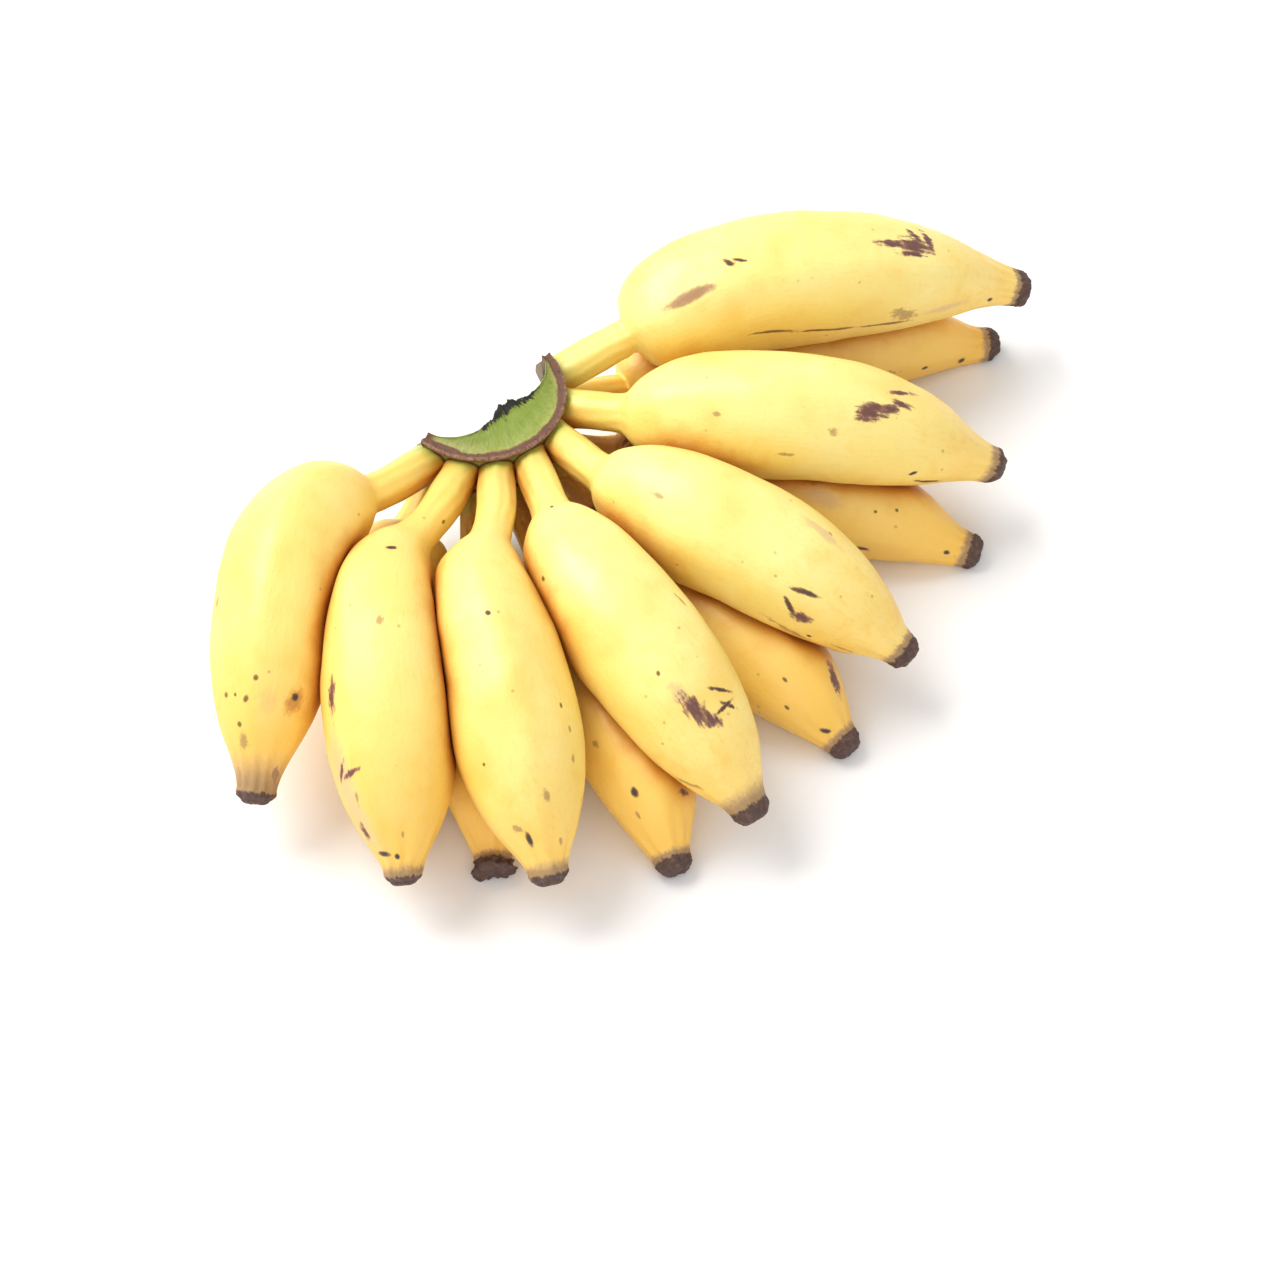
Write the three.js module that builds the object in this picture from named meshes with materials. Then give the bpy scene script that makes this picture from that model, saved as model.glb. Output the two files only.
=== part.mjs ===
// A hand of small, stout bananas lying on a table: thirteen fingers in two rows, joined at one cut crown.
// Millimetres, +Z up, resting on z = 0. The crown is at the back left and the tips point forward and right.
import * as THREE from 'three';

// ---- Driving dimensions (millimetres, degrees) ----

const GAP = 0.5;            // clearance left where two fingers press together
const SIDES = 15;           // three points for each of a finger's five ridges
const RIDGE = 0.025;        // height of the ridges as a share of the radius
const PEDICEL_RADIUS = 5.4;
const TIP_DOME = 1.2;       // how far the dried flower scar bulges past the last ring
const TABLE_DENT = 1;       // how far a resting finger is flattened by the table

// The crown is a crescent of old stalk: its outer wall is a cylinder that the pedicels leave.
const CROWN = {
  x: -38,
  y: 30,
  wall: 22,                 // radius of the outer wall
  start: -134,              // azimuth of the two ends
  end: 37,
  depth: 12.5,              // from the outer wall to the cut face, at the middle
  tip_depth: 1.4,           // the same at the two ends
  bottom: 13,
  top: 42,
  bands: 28,
};

// The crown's section, going round: [share of the depth inwards, outward offset, height].
// Heights are shares of the way from the crown's bottom to its top.
const CROWN_SECTION = [
  [0.00, 0.0, 0.05],
  [0.00, 0.2, 0.45],
  [0.00, 0.0, 0.86],
  [0.00, 1.5, 0.93],        // the rim left by the old leaf bracts
  [0.00, 1.2, 0.98],
  [0.08, 0.0, 0.97],
  [0.40, 0.0, 0.98],        // the green cushion of living stalk
  [0.80, 0.0, 1.00],
  [1.00, 0.0, 1.00],        // the edge of the cut
  [0.94, 0.0, 0.80],
  [0.86, 0.0, 0.45],
  [0.96, 0.0, 0.08],
  [0.50, 0.0, 0.00],
];

// Upper row: at = azimuth of the pedicel on the crown, leave and lie = compass headings of the pedicel
// and of the body, bow = extra turn at the shoulder, reach = length seen from above, stalk = pedicel's
// share of it, girth = largest radius, belly = where that radius lies (more than 1 is nearer the
// pedicel), tip = height of the end, roll = turn of the ridges.
const UPPER_ROW = { base: 33, arch: 16 };
const UPPER_FINGERS = [
  {
    at: -128, leave: -129, bow: -25, lie: -97,
    reach: 118, stalk: 24, girth: 17.5, belly: 1.0, tip: 19, roll: 10,
  },
  {
    at: -104, leave: -107, bow: -18, lie: -84,
    reach: 127, stalk: 32, girth: 17.8, belly: 0.8, tip: 18, roll: 40,
  },
  {
    at: -79, leave: -88, bow: -14, lie: -75,
    reach: 125, stalk: 29.5, girth: 17.6, belly: 0.8, tip: 18, roll: 0,
  },
  {
    at: -53, leave: -74, bow: 0, lie: -53,
    reach: 124, stalk: 25, girth: 17.6, belly: 0.85, tip: 18, roll: 25,
  },
  {
    at: -26, leave: -55, bow: 14, lie: -26,
    reach: 117, stalk: 23, girth: 17.8, belly: 0.95, tip: 18, roll: 55,
  },
  {
    at: 2, leave: -22, bow: 14, lie: 0,
    reach: 123, stalk: 19, girth: 17.6, belly: 1.0, tip: 19, roll: 15,
  },
  {
    at: 30, leave: 25, bow: 4, lie: 12,
    reach: 142, stalk: 24, girth: 18.8, belly: 1.3, tip: 22, roll: 35,
  },
];

// Lower row: the fingers lie along the table, each on a flat between two of its ridges.
const LOWER_ROW = { base: 20, settle: 0.45 };
const LOWER_SHAPE = { bow: 0, stalk: 22, girth: 16.5 };
const LOWER_FINGERS = [
  { stalk: 14, at: -128, leave: -111, lie: -86, reach: 108, belly: 1.0, roll: 2 },
  { at: -92, leave: -89, lie: -86, reach: 110, belly: 1.1, roll: -3 },
  { at: -64, leave: -66, lie: -70, reach: 120, belly: 0.9, roll: 3 },
  { at: -38, leave: -41, lie: -45, reach: 115, belly: 1.0, roll: -2 },
  { stalk: 14, at: -11, leave: -6, lie: -14, reach: 119, belly: 1.1, roll: 3 },
  { at: 30, leave: 26, lie: 11, reach: 134, belly: 1.2, roll: 0 },
].map((finger) => ({ ...LOWER_SHAPE, ...finger }));

// Outline of one finger's body, pedicel to tip: [share of the body's length, share of the girth].
const BODY_OUTLINE = [
  [0.00, 0.34], [0.03, 0.52], [0.07, 0.68], [0.13, 0.83], [0.20, 0.92], [0.30, 0.98],
  [0.40, 1.00], [0.50, 1.00], [0.60, 0.97], [0.70, 0.88], [0.78, 0.76], [0.85, 0.60],
  [0.90, 0.45], [0.94, 0.34], [0.975, 0.29], [1.00, 0.27],
];
const PEDICEL_STATIONS = [0, 0.3, 0.6, 0.86];   // shares of the pedicel's length

// ---- Helpers ----

const radians = THREE.MathUtils.degToRad;
const { lerp, smoothstep } = THREE.MathUtils;

function compass(angle, length) {
  return new THREE.Vector3(Math.cos(radians(angle)) * length, Math.sin(radians(angle)) * length, 0);
}

function material(name, colour, roughness) {
  return new THREE.MeshStandardMaterial({ name, color: colour, roughness, metalness: 0 });
}

// A closed skin over rings of equal size, with one point closing each end.
function skinOverRings(startPoint, rings, endPoint) {
  const points = [startPoint, ...rings.flat(), endPoint];
  const sides = rings[0].length;
  const last = points.length - 1;
  const index = [];
  for (let k = 0; k < sides; k += 1) {
    const next = (k + 1) % sides;
    index.push(0, 1 + next, 1 + k);
    for (let r = 0; r < rings.length - 1; r += 1) {
      const a = 1 + r * sides;
      const b = a + sides;
      index.push(a + k, a + next, b + next);
      index.push(a + k, b + next, b + k);
    }
    index.push(last, last - sides + k, last - sides + next);
  }
  const geometry = new THREE.BufferGeometry().setFromPoints(points);
  geometry.setIndex(index);
  geometry.computeVertexNormals();
  return geometry;
}

// ---- Fingers ----

// Distance along the finger and radius of each ring of its skin.
function fingerOutline(finger) {
  const body = finger.reach - finger.stalk;
  const stations = PEDICEL_STATIONS.map((along) => [along * finger.stalk, PEDICEL_RADIUS]);
  for (const [along, share] of BODY_OUTLINE) {
    stations.push([finger.stalk + along ** finger.belly * body, share * finger.girth]);
  }
  return stations;
}

function upperHeight(finger, along) {
  return lerp(UPPER_ROW.base, finger.tip, along) + UPPER_ROW.arch * 4 * along * (1 - along);
}

function lowerHeight(finger, along, radius) {
  return lerp(LOWER_ROW.base, radius - TABLE_DENT, smoothstep(along, 0, LOWER_ROW.settle));
}

// The finger's axis as seen from above turns from its pedicel's heading to its body's.
function axisPoint(finger, distance, radius, height) {
  const steps = 40;
  const point = new THREE.Vector3(CROWN.x, CROWN.y, 0).add(compass(finger.at, CROWN.wall + GAP));
  for (let step = 0; step < steps; step += 1) {
    const along = (distance * (step + 0.5)) / steps / finger.reach;
    const shoulder = smoothstep(along, 0.08, 0.25) * (1 - smoothstep(along, 0.25, 0.5));
    const heading = lerp(finger.leave, finger.lie, smoothstep(along, 0.15, 0.55)) + finger.bow * shoulder;
    point.add(compass(heading, distance / steps));
  }
  point.z = height(finger, distance / finger.reach, radius);
  return point;
}

function fingerAxis(finger, height) {
  return fingerOutline(finger).map(([distance, radius]) => ({
    centre: axisPoint(finger, distance, radius, height),
    radius,
  }));
}

// How far a point lies outside a finger, measured from its round axis.
function clearance(axis, point) {
  let best = Infinity;
  const closest = new THREE.Vector3();
  for (let i = 0; i < axis.length - 1; i += 1) {
    const line = new THREE.Line3(axis[i].centre, axis[i + 1].centre);
    const along = line.closestPointToPointParameter(point, true);
    line.at(along, closest);
    const radius = lerp(axis[i].radius, axis[i + 1].radius, along);
    best = Math.min(best, closest.distanceTo(point) - radius);
  }
  return best;
}

// Draws a point of the skin back towards its axis until the neighbours have half of the squeeze each.
function press(centre, point, radius, neighbours) {
  const trial = new THREE.Vector3();
  const fits = (share) => {
    trial.lerpVectors(centre, point, share);
    const own = trial.distanceTo(centre) - radius;
    return neighbours.every((axis) => own <= clearance(axis, trial) - GAP);
  };
  if (fits(1)) return point;
  let low = 0;
  let high = 1;
  for (let i = 0; i < 14; i += 1) {
    const middle = (low + high) / 2;
    if (fits(middle)) low = middle;
    else high = middle;
  }
  return new THREE.Vector3().lerpVectors(centre, point, low);
}

// The first ring of a pedicel follows the crown's round wall.
function seatOnCrown(point, heading) {
  const way = compass(heading, 1);
  const x = point.x - CROWN.x;
  const y = point.y - CROWN.y;
  const forward = x * way.x + y * way.y;
  const seat = CROWN.wall + GAP;
  const slide = Math.sqrt(forward * forward - (x * x + y * y - seat * seat)) - forward;
  return point.clone().addScaledVector(way, slide);
}

function fingerRing(finger, axis, i, neighbours) {
  const { centre, radius } = axis[i];
  const roll = radians(finger.roll);
  const before = axis[Math.max(i - 1, 0)].centre;
  const after = axis[Math.min(i + 1, axis.length - 1)].centre;
  const along = new THREE.Vector3().subVectors(after, before).normalize();
  const side = new THREE.Vector3().crossVectors(along, new THREE.Vector3(0, 0, 1)).normalize();
  const up = new THREE.Vector3().crossVectors(side, along);
  const ring = [];
  for (let k = 0; k < SIDES; k += 1) {
    const turn = (k / SIDES) * 2 * Math.PI;
    const reach = radius * (1 + RIDGE * Math.cos(5 * turn));
    const point = centre.clone()
      .addScaledVector(up, Math.cos(turn + roll) * reach)
      .addScaledVector(side, Math.sin(turn + roll) * reach);
    const seated = i === 0 ? seatOnCrown(point, finger.leave) : point;
    ring.push(press(centre, seated, radius, neighbours));
  }
  return { ring, along };
}

function makeFinger(name, finger, axis, neighbours, skin) {
  const sections = axis.map((station, i) => fingerRing(finger, axis, i, neighbours));
  const rings = sections.map((section) => section.ring);
  for (const point of rings.flat()) {
    point.z = Math.max(point.z, 0);
  }
  const last = sections.length - 1;
  const start = axis[0].centre;
  const end = axis[last].centre.clone().addScaledVector(sections[last].along, TIP_DOME);
  const mesh = new THREE.Mesh(skinOverRings(start, rings, end), skin);
  mesh.name = name;
  return mesh;
}

function makeFingers() {
  const ripe = material('banana_peel', 0xf2dc6e, 0.55);
  const rows = [
    { prefix: 'upper_banana', fingers: UPPER_FINGERS, height: upperHeight },
    { prefix: 'lower_banana', fingers: LOWER_FINGERS, height: lowerHeight },
  ];
  const all = rows.flatMap(({ prefix, fingers, height }) => fingers.map((finger, i) => ({
    name: `${prefix}_${i + 1}`,
    finger,
    axis: fingerAxis(finger, height),
  })));
  return all.map((item) => {
    const neighbours = all.filter((other) => other !== item).map((other) => other.axis);
    const skin = ripe.clone();
    return makeFinger(item.name, item.finger, item.axis, neighbours, skin);
  });
}

// ---- Crown ----

function crownRing(azimuth) {
  const middle = (CROWN.start + CROWN.end) / 2;
  const away = (azimuth - middle) / (CROWN.end - middle);
  const fullness = Math.max(0, Math.cos((away * Math.PI) / 2)) ** 1.5;
  const depth = lerp(CROWN.tip_depth, CROWN.depth, fullness);
  return CROWN_SECTION.map(([inward, outward, height]) => {
    const point = compass(azimuth, CROWN.wall + outward - inward * depth);
    point.x += CROWN.x;
    point.y += CROWN.y;
    point.z = lerp(CROWN.bottom, CROWN.top, height);
    return point;
  });
}

function ringCentre(ring) {
  const sum = ring.reduce((total, point) => total.add(point), new THREE.Vector3());
  return sum.divideScalar(ring.length);
}

function makeCrown() {
  const rings = [];
  for (let band = 0; band <= CROWN.bands; band += 1) {
    rings.push(crownRing(lerp(CROWN.end, CROWN.start, band / CROWN.bands)));
  }
  const start = ringCentre(rings[0]);
  const end = ringCentre(rings[rings.length - 1]);
  const mesh = new THREE.Mesh(skinOverRings(start, rings, end), material('cut_crown', 0x8f9a55, 0.8));
  mesh.name = 'crown';
  return mesh;
}

// ---- The whole hand, with its origin under the middle of its bounding box ----

const hand = new THREE.Group();
hand.add(makeCrown(), ...makeFingers());

const box = new THREE.Box3().setFromObject(hand);
const middle = box.getCenter(new THREE.Vector3());
hand.position.set(-middle.x, -middle.y, -box.min.z);

export default hand;
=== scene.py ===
import math

import bpy
import numpy as np
from bpy.props import FloatProperty, FloatVectorProperty, IntProperty, PointerProperty
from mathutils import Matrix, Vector, noise
from mathutils.bvhtree import BVHTree


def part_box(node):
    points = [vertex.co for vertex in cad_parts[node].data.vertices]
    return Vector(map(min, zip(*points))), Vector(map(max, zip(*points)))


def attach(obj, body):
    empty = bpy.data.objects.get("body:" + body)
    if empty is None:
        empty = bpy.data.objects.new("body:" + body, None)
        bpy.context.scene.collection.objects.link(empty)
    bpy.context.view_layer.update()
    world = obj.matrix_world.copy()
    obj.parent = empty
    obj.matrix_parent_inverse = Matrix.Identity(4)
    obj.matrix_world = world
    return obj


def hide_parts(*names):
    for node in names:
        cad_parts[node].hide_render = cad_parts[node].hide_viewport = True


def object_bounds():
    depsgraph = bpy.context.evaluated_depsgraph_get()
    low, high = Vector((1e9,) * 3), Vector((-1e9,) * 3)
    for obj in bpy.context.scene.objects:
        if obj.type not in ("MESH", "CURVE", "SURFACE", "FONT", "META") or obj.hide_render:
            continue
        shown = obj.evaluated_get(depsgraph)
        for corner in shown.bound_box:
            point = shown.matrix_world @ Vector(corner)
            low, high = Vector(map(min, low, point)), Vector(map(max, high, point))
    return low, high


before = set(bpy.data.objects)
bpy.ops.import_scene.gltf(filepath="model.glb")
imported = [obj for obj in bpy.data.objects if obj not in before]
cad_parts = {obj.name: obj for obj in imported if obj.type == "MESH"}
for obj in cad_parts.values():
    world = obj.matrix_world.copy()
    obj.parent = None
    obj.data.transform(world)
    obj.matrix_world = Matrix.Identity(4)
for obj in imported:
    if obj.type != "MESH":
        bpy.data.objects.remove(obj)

bl_info = {
    "name": "Hand of bananas",
    "version": (1, 0, 0),
    "blender": (4, 5, 0),
    "location": "3D View > Sidebar > Bananas",
    "description": "Builds the ripe fingers and the cut crown of a hand of bananas",
    "category": "Object",
}

for spare in ("Cube", "Light", "Camera"):
    if spare in bpy.data.objects:
        bpy.data.objects.remove(bpy.data.objects[spare])

CAD_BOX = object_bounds()
MM = 0.001
CROWN_LOW, CROWN_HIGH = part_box("crown")
CROWN_MIDDLE = np.array((CROWN_LOW + CROWN_HIGH) / 2)
UPPER_FINGERS = sorted(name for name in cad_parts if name.startswith("upper_banana"))
LOWER_FINGERS = sorted(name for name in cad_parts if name.startswith("lower_banana"))


# ---- Settings ----

def colour_setting(name, description, default):
    return FloatVectorProperty(name=name, description=description, subtype="COLOR", size=3,
                               min=0, max=1, default=default)


def length_setting(name, description, default):
    return FloatProperty(name=name, description=description, unit="LENGTH", subtype="DISTANCE",
                         min=0, precision=5, default=default)


class BananaPeelSettings(bpy.types.PropertyGroup):
    """Sizes and colours of the fingers."""
    ripe: colour_setting("Ripe yellow", "Main colour of the peel", (0.93, 0.71, 0.175))
    # The lighter yellow is also painted on the top of each finger as painted highlight.
    pale_and_top_light: colour_setting("Pale yellow", "Lighter, creamy patches of the peel", (0.95, 0.83, 0.340))
    # The warmer yellow is also painted on the flanks of each finger and over the lower row as painted shade.
    deep_and_shade: colour_setting("Deep yellow", "Riper, warmer patches of the peel", (0.89, 0.52, 0.070))
    # Painted shade: this colour stands in for the shade in the creases where fingers press on each other.
    painted_crease_shade: colour_setting("Crease", "Peel where fingers press on each other", (0.58, 0.20, 0.012))
    green: colour_setting("Unripe green", "Peel next to the crown", (0.42, 0.50, 0.080))
    scar: colour_setting("Flower scar", "Dried end of each finger", (0.070, 0.034, 0.024))
    scar_edge: colour_setting("Scar edge", "Withered peel round the dried end", (0.58, 0.33, 0.160))
    roughness: FloatProperty(name="Roughness", description="Roughness of sound peel",
                             min=0, max=1, default=0.44)
    gloss: FloatProperty(name="Gloss", description="Strength of the waxy shine", min=0, max=1,
                         default=0.65)
    wave: length_setting("Wave", "Height of the slow waves in the peel", 0.00030)
    wrinkle: length_setting("Wrinkle", "Height of the folds at both ends of a finger", 0.00022)
    flare: length_setting("Flare", "How much a pedicel widens where it joins the crown", 0.0006)
    sink: length_setting("Sink", "How far a pedicel runs into the crown", 0.0016)
    rings: IntProperty(name="Rings", description="Rings of faces along a finger", min=40, default=170)
    sides: IntProperty(name="Sides", description="Faces round a finger", min=20, default=90)


class BananaCrownSettings(bpy.types.PropertyGroup):
    """Sizes and colours of the crown."""
    cushion: colour_setting("Cushion", "Green living stalk", (0.20, 0.25, 0.038))
    cushion_pale: colour_setting("Pale cushion", "Lighter green next to the rim", (0.33, 0.33, 0.095))
    rim: colour_setting("Rim", "Dried scar of the leaf bracts", (0.150, 0.066, 0.042))
    rim_pale: colour_setting("Pale rim", "Worn crest of the rim", (0.34, 0.20, 0.140))
    cut: colour_setting("Cut", "Dried cut face", (0.075, 0.052, 0.036))
    fibre: colour_setting("Fibre", "Strands in the cut face", (0.26, 0.19, 0.120))
    black: colour_setting("Cut edge", "Blackened edge of the cut", (0.012, 0.011, 0.009))
    ragged: length_setting("Ragged edge", "Height of the torn edge of the cut", 0.0028)
    coarse: length_setting("Coarseness", "Height of the knots in the rim and the cut face", 0.0005)


class BananaStageSettings(bpy.types.PropertyGroup):
    """Floor, lights and camera."""
    floor: colour_setting("Floor", "Colour of the table top", (0.93, 0.93, 0.94))
    sky: FloatProperty(name="Sky", description="Strength of the even light", min=0, default=0.77)
    key: FloatProperty(name="Key light", description="Strength of the large light", unit="POWER",
                       min=0, default=24.5)
    fill: FloatProperty(name="Fill light", description="Strength of the front light", unit="POWER",
                        min=0, default=6.0)
    elevation: FloatProperty(name="Elevation", description="Height of the camera above the horizon",
                             subtype="ANGLE", default=math.radians(55))
    distance: length_setting("Distance", "From the camera to the point it looks at", 1.1)
    lens: FloatProperty(name="Lens", description="Focal length in millimetres", min=1, default=111.4)
    aim: length_setting("Aim", "How far in front of the hand's middle the camera looks", 0.0116)
    aim_right: length_setting("Aim right", "How far right of the hand's middle it looks", 0.0007)


# ---- Shader maths ----

class Value:
    """A number or socket in a material that can be used in ordinary arithmetic."""

    def __init__(self, paint, socket):
        self.paint = paint
        self.socket = socket

    def maths(self, operation, *others):
        values = [self.socket] + [getattr(other, "socket", other) for other in others]
        node = self.paint.node("ShaderNodeMath", {"operation": operation}, dict(enumerate(values)))
        return Value(self.paint, node.outputs[0])

    def __add__(self, other):
        return self.maths("ADD", other)

    def __mul__(self, other):
        return self.maths("MULTIPLY", other)

    def __sub__(self, other):
        return self.maths("SUBTRACT", other)

    def __truediv__(self, other):
        return self.maths("DIVIDE", other)

    def __rsub__(self, other):
        return (self * -1) + other

    __radd__ = __add__
    __rmul__ = __mul__

    def step(self, low, high):
        """0 at low and 1 at high, with a soft slope between."""
        node = self.paint.node("ShaderNodeMapRange", {"interpolation_type": "SMOOTHSTEP"},
                               {"Value": self.socket, "From Min": low, "From Max": high})
        return Value(self.paint, node.outputs[0])

    def band(self, low, high, soft):
        """1 between low and high, 0 outside."""
        return self.step(low - soft, low + soft) * (1 - self.step(high - soft, high + soft))


class Paint:
    """Builds one material's nodes."""

    def __init__(self, name):
        self.material = bpy.data.materials.new(name)
        self.material.use_nodes = True
        self.tree = self.material.node_tree
        self.surface = self.tree.nodes["Principled BSDF"]

    def node(self, kind, settings, sockets):
        node = self.tree.nodes.new(kind)
        for name, value in settings.items():
            setattr(node, name, value)
        for key, value in sockets.items():
            self.feed(node.inputs[key], value)
        return node

    def feed(self, socket, value):
        value = getattr(value, "socket", value)
        if isinstance(value, bpy.types.NodeSocket):
            self.tree.links.new(value, socket)
        else:
            socket.default_value = value

    def attribute(self, name):
        node = self.node("ShaderNodeAttribute", {"attribute_name": name}, {})
        parts = self.node("ShaderNodeSeparateXYZ", {}, {0: node.outputs["Vector"]})
        return [Value(self, output) for output in parts.outputs]

    def place(self, scale=(1, 1, 1), shift=0.0):
        """Position on the object in metres, stretched and shifted."""
        source = self.node("ShaderNodeTexCoord", {}, {}).outputs["Object"]
        moved = self.node("ShaderNodeVectorMath", {"operation": "MULTIPLY_ADD"},
                          {0: source, 1: scale, 2: (shift, shift * 0.7, shift * 1.3)})
        return moved.outputs[0]

    def join(self, x, y, z):
        return self.node("ShaderNodeCombineXYZ", {}, {0: x, 1: y, 2: z}).outputs[0]

    def noise(self, where, scale, detail=2.0, roughness=0.5):
        node = self.node("ShaderNodeTexNoise", {},
                         {"Vector": where, "Scale": scale, "Detail": detail, "Roughness": roughness})
        return Value(self, node.outputs[0])

    def cells(self, where, scale):
        """Distance to the nearest scattered point, and a number that differs for each point."""
        node = self.node("ShaderNodeTexVoronoi", {}, {"Vector": where, "Scale": scale})
        lucky = self.node("ShaderNodeSeparateXYZ", {}, {0: node.outputs["Color"]})
        return Value(self, node.outputs["Distance"]), Value(self, lucky.outputs[0])

    def mix(self, share, under, over):
        """Colour under, covered by colour over where share is 1."""
        under = tuple(under) + (1,) if len_or_zero(under) == 3 else under
        over = tuple(over) + (1,) if len_or_zero(over) == 3 else over
        node = self.node("ShaderNodeMix", {"data_type": "RGBA"}, {0: share, 6: under, 7: over})
        return node.outputs[2]

    def finish(self, colour, roughness, height, depth):
        bump = self.node("ShaderNodeBump", {}, {"Height": height, "Distance": depth, "Strength": 1.0})
        self.feed(self.surface.inputs["Base Color"], colour)
        self.feed(self.surface.inputs["Roughness"], roughness)
        self.feed(self.surface.inputs["Normal"], bump.outputs[0])
        return self.material


def len_or_zero(value):
    return len(value) if hasattr(value, "__len__") else 0


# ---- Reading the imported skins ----

def joined_mesh(node):
    """Points and triangles of a CAD node, with points that lie together made one."""
    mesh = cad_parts[node].data
    points = np.array([vertex.co for vertex in mesh.vertices], float)
    triangles = np.array([list(face.vertices) for face in mesh.polygons])
    keys = np.round(points / (0.002 * MM)).astype(int)
    _, first, back = np.unique(keys, axis=0, return_index=True, return_inverse=True)
    return points[first], back.reshape(-1)[triangles]


def walk_round(ring, links):
    """The points of a ring in the order in which they are joined."""
    path = [min(ring)]
    while len(path) < len(ring):
        path.append(min((links[path[-1]] & ring) - set(path)))
    return path


def line_up(path, before, links, points):
    """Starts a ring beside the ring before it, and turns it the same way round."""
    beside = links[before[0]] & set(path)
    start = min(beside, key=lambda p: np.linalg.norm(points[p] - points[before[0]]))
    at = path.index(start)
    path = path[at:] + path[:at]
    if path[1] not in links[before[1]]:
        path = path[:1] + path[:0:-1]
    return path


def skin_rings(node, foot):
    """The rings of a CAD skin that closes on one point at each end, from the end nearest to foot."""
    points, triangles = joined_mesh(node)
    links = [set() for _ in points]
    for triangle in triangles:
        for corner in triangle:
            links[corner].update(int(other) for other in triangle if other != corner)
    poles = sorted(range(len(points)), key=lambda p: -len(links[p]))[:2]
    first = min(poles, key=lambda p: np.linalg.norm(points[p] - foot))
    seen = {first}
    ring = set(links[first])
    paths = []
    while len(ring) > 1:
        seen |= ring
        path = walk_round(ring, links)
        paths.append(line_up(path, paths[-1], links, points) if paths else path)
        ring = {other for point in ring for other in links[point]} - seen
    rings = points[np.array(paths)]
    across = np.cross(rings[0, 1] - rings[0, 0], rings[0, 2] - rings[0, 0])
    if across @ (rings[1].mean(0) - rings[0].mean(0)) < 0:
        rings = rings[:, ::-1]
    return rings


# ---- Smooth surfaces ----

def through(knots, values, places):
    """A smooth curve through values at knots, read at places."""
    slopes = np.gradient(values, knots, axis=0)
    at = np.clip(np.searchsorted(knots, places, side="right") - 1, 0, len(knots) - 2)
    shape = (-1,) + (1,) * (values.ndim - 1)
    gap = (knots[at + 1] - knots[at]).reshape(shape)
    t = ((places - knots[at]) / gap.reshape(-1)).reshape(shape)
    return ((1 + 2 * t) * (1 - t) ** 2 * values[at] + t * (1 - t) ** 2 * gap * slopes[at]
            + t * t * (3 - 2 * t) * values[at + 1] + t * t * (t - 1) * gap * slopes[at + 1])


def around(rings, sides):
    """Rings with more points, on smooth closed curves through the old ones."""
    count = rings.shape[1]
    wrapped = np.concatenate([rings[:, -3:], rings, rings[:, :4]], axis=1)
    knots = np.arange(-3, count + 4, dtype=float)
    places = np.arange(sides) * count / sides
    return through(knots, wrapped.swapaxes(0, 1), places).swapaxes(0, 1)


def rough(points, size, seed, octaves=2):
    """Seeded noise from -1 to 1 at each point, with features of the given size."""
    shift = Vector((seed * 3.1, seed * 1.7, seed * 2.3))
    flat = points.reshape(-1, 3) / size
    values = [noise.fractal(Vector(p) + shift, 0.8, 2.1, octaves) for p in flat]
    return np.clip(np.array(values), -1.5, 1.5).reshape(points.shape[:-1])


def soft_step(values, low, high):
    t = np.clip((values - low) / (high - low), 0, 1)
    return t * t * (3 - 2 * t)


def store_attribute(mesh, name, values):
    """Keeps a number or vector for every point of a ring mesh; its end points get the mean."""
    wide = values.ndim == 3
    flat = values.reshape((-1, 3) if wide else -1)
    flat = np.concatenate([[values[0].mean(axis=0)], flat, [values[-1].mean(axis=0)]])
    kind, field = ("FLOAT_VECTOR", "vector") if wide else ("FLOAT", "value")
    store = mesh.attributes.new(name, kind, "POINT")
    store.data.foreach_set(field, flat.astype(np.float32).ravel())


def skin_object(name, rings, start, end, attributes):
    """A closed mesh over rings, with one point at each end and values kept at every point."""
    count, sides = rings.shape[:2]
    points = np.concatenate([[start], rings.reshape(-1, 3), [end]])
    last = len(points) - 1
    side = np.arange(sides)
    after = (side + 1) % sides
    row = 1 + np.arange(count - 1)[:, None] * sides
    quads = np.stack([row + side, row + after, row + sides + after, row + sides + side], -1)
    fans = np.stack([np.zeros(sides, int), 1 + after, 1 + side], -1)
    top = last - sides
    caps = np.stack([np.full(sides, last), top + side, top + after], -1)
    faces = quads.reshape(-1, 4).tolist() + fans.tolist() + caps.tolist()
    mesh = bpy.data.meshes.new(name)
    mesh.from_pydata(points.tolist(), [], faces)
    for attribute, values in attributes.items():
        store_attribute(mesh, attribute, values)
    mesh.polygons.foreach_set("use_smooth", np.ones(len(mesh.polygons), bool))
    mesh.update()
    piece = bpy.data.objects.new(name, mesh)
    bpy.context.scene.collection.objects.link(piece)
    return piece
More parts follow.
